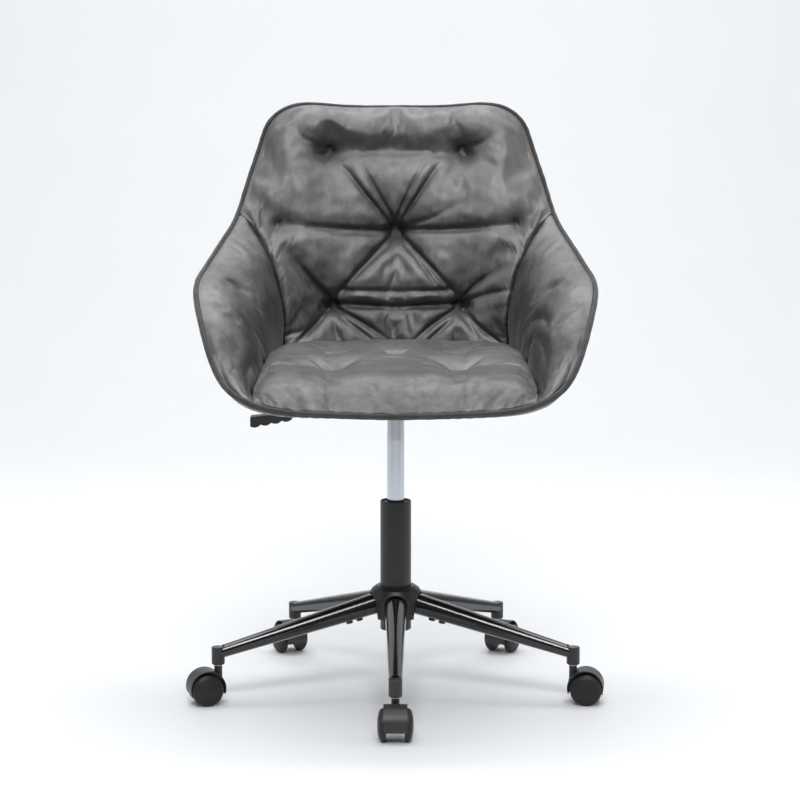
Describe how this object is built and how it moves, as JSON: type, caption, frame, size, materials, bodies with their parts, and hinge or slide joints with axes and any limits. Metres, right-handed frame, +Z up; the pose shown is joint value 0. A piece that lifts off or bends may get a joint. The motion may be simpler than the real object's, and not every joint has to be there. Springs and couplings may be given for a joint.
{
  "type": "swivel office chair",
  "caption": "Swivel office chair: tufted velvet tub seat with low arms, lever-operated gas lift, black star base and hooded twin-wheel casters.",
  "frame": {"origin": "on the floor, on the axis of the gas lift", "axes": "+Z up along the gas lift's axis, the seat's front faces -Y, +X to the right of someone who looks at the front"},
  "size_m": [0.6677, 0.6377, 0.9477],
  "materials": {
    "velvet": "short pile velvet",
    "dust_cloth": "non-woven cloth",
    "plywood": "raw plywood",
    "chrome": "polished chrome",
    "steel": "zinc plated",
    "black_steel": "black oxide",
    "black_paint": "gloss black paint",
    "black_plastic": "semi-gloss moulded plastic",
    "caster_plastic": "semi-gloss nylon",
    "wheel_plastic": "matt nylon",
    "bush_plastic": "moulded acetal",
    "rubber": "matt"
  },
  "bodies": {
    "base": {"hub_core": "black_paint", "hub_cover": "black_plastic", "leg_front": "black_paint", "leg_right": "black_paint", "leg_rear_right": "black_paint", "leg_rear_left": "black_paint", "leg_left": "black_paint", "leg_bolts": "black_steel", "stem_sleeves": "black_paint", "stem_sockets": "bush_plastic", "column_tube": "black_paint", "column_bush": "bush_plastic", "thrust_bearing": "steel"},
    "lift_rod": {"piston_rod": "steel", "piston": "steel", "bump_stop": "rubber", "rod_clip": "black_steel", "bearing_race_upper": "steel"},
    "seat": {"gas_cylinder": "chrome", "mechanism_plate": "black_steel", "mechanism_bolts": "black_steel", "board_nuts": "steel", "lever_pivot_pin": "steel", "seat_board": "plywood", "shell_frame": "plywood", "outer_cover": "velvet", "dust_cover": "dust_cloth", "seat_pad": "velvet", "back_pad": "velvet", "arm_pad_left": "velvet", "arm_pad_right": "velvet", "piping": "velvet"},
    "lever": {"lever_rod": "black_steel", "lever_grip": "black_plastic"},
    "valve_pin": {"valve_pin": "steel"},
    "caster_front": {"caster_front_stem": "steel", "caster_front_hood": "caster_plastic", "caster_front_axle": "steel"},
    "caster_front_wheel_left": {"caster_front_wheel_left": "wheel_plastic"},
    "caster_front_wheel_right": {"caster_front_wheel_right": "wheel_plastic"},
    "caster_right": {"caster_right_stem": "steel", "caster_right_hood": "caster_plastic", "caster_right_axle": "steel"},
    "caster_right_wheel_left": {"caster_right_wheel_left": "wheel_plastic"},
    "caster_right_wheel_right": {"caster_right_wheel_right": "wheel_plastic"},
    "caster_rear_right": {"caster_rear_right_stem": "steel", "caster_rear_right_hood": "caster_plastic", "caster_rear_right_axle": "steel"},
    "caster_rear_right_wheel_left": {"caster_rear_right_wheel_left": "wheel_plastic"},
    "caster_rear_right_wheel_right": {"caster_rear_right_wheel_right": "wheel_plastic"},
    "caster_rear_left": {"caster_rear_left_stem": "steel", "caster_rear_left_hood": "caster_plastic", "caster_rear_left_axle": "steel"},
    "caster_rear_left_wheel_left": {"caster_rear_left_wheel_left": "wheel_plastic"},
    "caster_rear_left_wheel_right": {"caster_rear_left_wheel_right": "wheel_plastic"},
    "caster_left": {"caster_left_stem": "steel", "caster_left_hood": "caster_plastic", "caster_left_axle": "steel"},
    "caster_left_wheel_left": {"caster_left_wheel_left": "wheel_plastic"},
    "caster_left_wheel_right": {"caster_left_wheel_right": "wheel_plastic"}
  },
  "joints": [
    {"name": "swivel", "type": "hinge", "parent": "base", "child": "lift_rod", "pos_m": [0, 0, 0.3], "axis": [0, 0, 1], "continuous": true},
    {"name": "height", "type": "slide", "parent": "lift_rod", "child": "seat", "axis": [0, 0, 1], "range_m": [-0.095, 0]},
    {"name": "lever_lift", "type": "hinge", "parent": "seat", "child": "lever", "pos_m": [-0.04, 0, 0.461], "axis": [0, 1, 0], "range_deg": [0, 4.3], "stiffness_Nm_per_rad": 20, "springref_deg": -1.15},
    {"name": "valve_press", "type": "slide", "parent": "seat", "child": "valve_pin", "axis": [0, 0, -1], "range_m": [0, 0.0036]},
    {"name": "caster_front_swivel", "type": "hinge", "parent": "base", "child": "caster_front", "pos_m": [0, -0.297, 0.07], "axis": [0, 0, 1], "continuous": true},
    {"name": "caster_front_roll_left", "type": "hinge", "parent": "caster_front", "child": "caster_front_wheel_left", "pos_m": [0, -0.3185, 0.025], "axis": [1, 0, 0], "continuous": true},
    {"name": "caster_front_roll_right", "type": "hinge", "parent": "caster_front", "child": "caster_front_wheel_right", "pos_m": [0, -0.3185, 0.025], "axis": [1, 0, 0], "continuous": true},
    {"name": "caster_right_swivel", "type": "hinge", "parent": "base", "child": "caster_right", "pos_m": [0.28246, -0.09178, 0.07], "axis": [0, 0, 1], "continuous": true},
    {"name": "caster_right_roll_left", "type": "hinge", "parent": "caster_right", "child": "caster_right_wheel_left", "pos_m": [0.3038, -0.0944, 0.025], "axis": [0.1219, 0.9925, 0], "continuous": true},
    {"name": "caster_right_roll_right", "type": "hinge", "parent": "caster_right", "child": "caster_right_wheel_right", "pos_m": [0.3038, -0.0944, 0.025], "axis": [0.1219, 0.9925, 0], "continuous": true},
    {"name": "caster_rear_right_swivel", "type": "hinge", "parent": "base", "child": "caster_rear_right", "pos_m": [0.17457, 0.24028, 0.07], "axis": [0, 0, 1], "continuous": true},
    {"name": "caster_rear_right_roll_left", "type": "hinge", "parent": "caster_rear_right", "child": "caster_rear_right_wheel_left", "pos_m": [0.185, 0.25908, 0.025], "axis": [-0.8746, 0.4848, 0], "continuous": true},
    {"name": "caster_rear_right_roll_right", "type": "hinge", "parent": "caster_rear_right", "child": "caster_rear_right_wheel_right", "pos_m": [0.185, 0.25908, 0.025], "axis": [-0.8746, 0.4848, 0], "continuous": true},
    {"name": "caster_rear_left_swivel", "type": "hinge", "parent": "base", "child": "caster_rear_left", "pos_m": [-0.17457, 0.24028, 0.07], "axis": [0, 0, 1], "continuous": true},
    {"name": "caster_rear_left_roll_left", "type": "hinge", "parent": "caster_rear_left", "child": "caster_rear_left_wheel_left", "pos_m": [-0.185, 0.25908, 0.025], "axis": [-0.8746, -0.4848, 0], "continuous": true},
    {"name": "caster_rear_left_roll_right", "type": "hinge", "parent": "caster_rear_left", "child": "caster_rear_left_wheel_right", "pos_m": [-0.185, 0.25908, 0.025], "axis": [-0.8746, -0.4848, 0], "continuous": true},
    {"name": "caster_left_swivel", "type": "hinge", "parent": "base", "child": "caster_left", "pos_m": [-0.28246, -0.09178, 0.07], "axis": [0, 0, 1], "continuous": true},
    {"name": "caster_left_roll_left", "type": "hinge", "parent": "caster_left", "child": "caster_left_wheel_left", "pos_m": [-0.30291, -0.09842, 0.025], "axis": [0.309, -0.9511, 0], "continuous": true},
    {"name": "caster_left_roll_right", "type": "hinge", "parent": "caster_left", "child": "caster_left_wheel_right", "pos_m": [-0.30291, -0.09842, 0.025], "axis": [0.309, -0.9511, 0], "continuous": true}
  ],
  "couplings": [
    {"joint": "valve_press", "follows": "lever_lift", "m_per_rad": 0.045}
  ]
}
